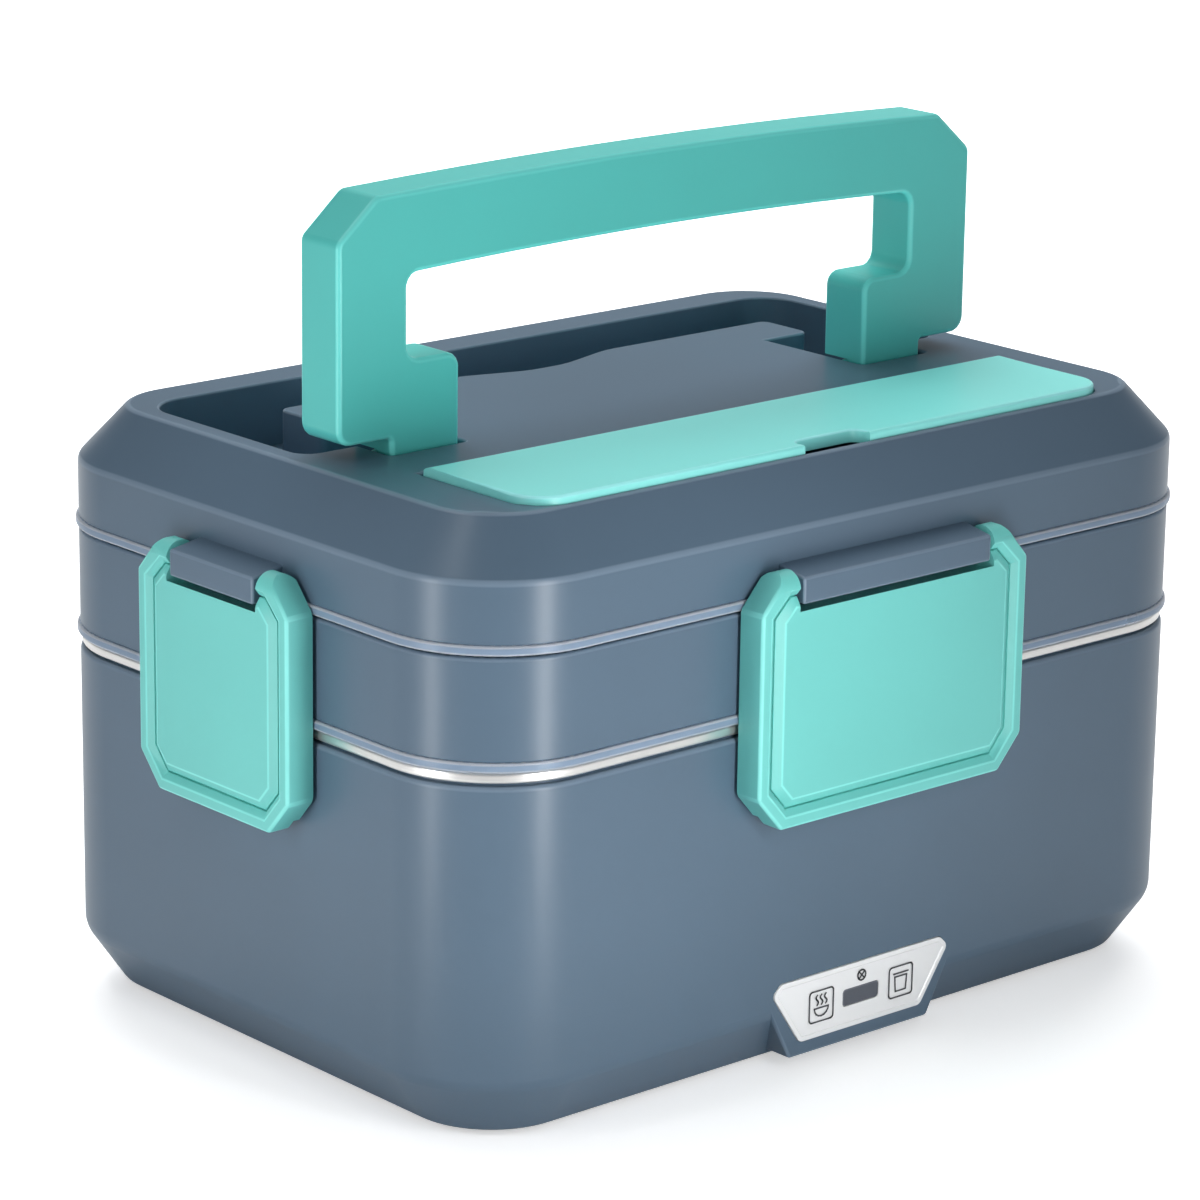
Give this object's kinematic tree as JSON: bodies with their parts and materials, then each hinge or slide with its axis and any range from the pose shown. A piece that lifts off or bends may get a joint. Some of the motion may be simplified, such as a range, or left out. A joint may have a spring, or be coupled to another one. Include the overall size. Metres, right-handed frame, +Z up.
{
  "type": "electric lunch box",
  "caption": "Portable electric lunch box: heated base, steel container, food tray and a clamped lift-off lid with a folding handle and a cutlery bay.",
  "frame": {"origin": "on the surface the box stands on, under the centre of its plan", "axes": "+X along the length to the right, +Y from the front panel to the back, +Z up"},
  "size_m": [0.2574, 0.1874, 0.2093],
  "materials": {
    "body_plastic": "satin",
    "teal_plastic": "satin",
    "cover_plastic": "satin",
    "polished_steel": "polished",
    "silicone": "translucent satin",
    "liner_plastic": "satin",
    "inner_plastic": "satin",
    "aluminium_plate": "satin",
    "ceramic": "matte",
    "board": "gloss",
    "led": "clear gloss",
    "panel_plastic": "gloss",
    "window_plastic": "gloss",
    "black_plastic": "matte",
    "lead_jacket": "satin",
    "cover_bottom": "satin",
    "foot_rubber": "matte",
    "screw_steel": "plated",
    "pin_steel": "polished"
  },
  "bodies": {
    "base": {"base_housing": "body_plastic", "inner_liner": "liner_plastic", "heating_plate": "aluminium_plate", "ptc_heaters": "ceramic", "thermal_fuse": "ceramic", "plate_screws": "screw_steel", "control_board": "board", "indicator_led": "led", "control_panel": "panel_plastic", "indicator_window": "window_plastic", "power_inlet": "black_plastic", "inlet_pins": "pin_steel", "internal_leads": "lead_jacket", "bottom_cover": "cover_bottom", "bottom_screws": "screw_steel", "rubber_feet": "foot_rubber"},
    "container": {"steel_container": "polished_steel"},
    "tray": {"upper_tray": "body_plastic", "tray_seal": "silicone"},
    "lid": {"lid_shell": "body_plastic", "lid_inner_cover": "inner_plastic", "lid_seal": "silicone", "handle_pins": "pin_steel", "cover_pins": "pin_steel", "latch_pins": "pin_steel"},
    "handle": {"handle": "teal_plastic"},
    "cutlery_cover": {"cutlery_cover": "cover_plastic"},
    "front_latch": {"front_latch": "teal_plastic"},
    "back_latch": {"back_latch": "teal_plastic"},
    "left_latch": {"left_latch": "teal_plastic"},
    "right_latch": {"right_latch": "teal_plastic"}
  },
  "joints": [
    {"name": "container_lift", "type": "slide", "parent": "base", "child": "container", "axis": [0, 0, 1], "range_m": [0, 0.08]},
    {"name": "tray_lift", "type": "slide", "parent": "container", "child": "tray", "axis": [0, 0, 1], "range_m": [0, 0.06]},
    {"name": "lid_lift", "type": "slide", "parent": "tray", "child": "lid", "axis": [0, 0, 1], "range_m": [0, 0.09]},
    {"name": "handle_fold", "type": "hinge", "parent": "lid", "child": "handle", "pos_m": [0, -0.0075, 0.1413], "axis": [-1, 0, 0], "range_deg": [0, 90]},
    {"name": "cover_lift", "type": "hinge", "parent": "lid", "child": "cutlery_cover", "pos_m": [0, -0.0351, 0.1448], "axis": [-1, 0, 0], "range_deg": [0, 90]},
    {"name": "front_latch_swing", "type": "hinge", "parent": "lid", "child": "front_latch", "pos_m": [0, -0.0895, 0.1222], "axis": [-1, 0, 0], "range_deg": [0, 150]},
    {"name": "back_latch_swing", "type": "hinge", "parent": "lid", "child": "back_latch", "pos_m": [0, 0.0895, 0.1222], "axis": [1, 0, 0], "range_deg": [0, 150]},
    {"name": "left_latch_swing", "type": "hinge", "parent": "lid", "child": "left_latch", "pos_m": [-0.1245, 0, 0.1222], "axis": [0, 1, 0], "range_deg": [0, 150]},
    {"name": "right_latch_swing", "type": "hinge", "parent": "lid", "child": "right_latch", "pos_m": [0.1245, 0, 0.1222], "axis": [0, -1, 0], "range_deg": [0, 150]}
  ]
}
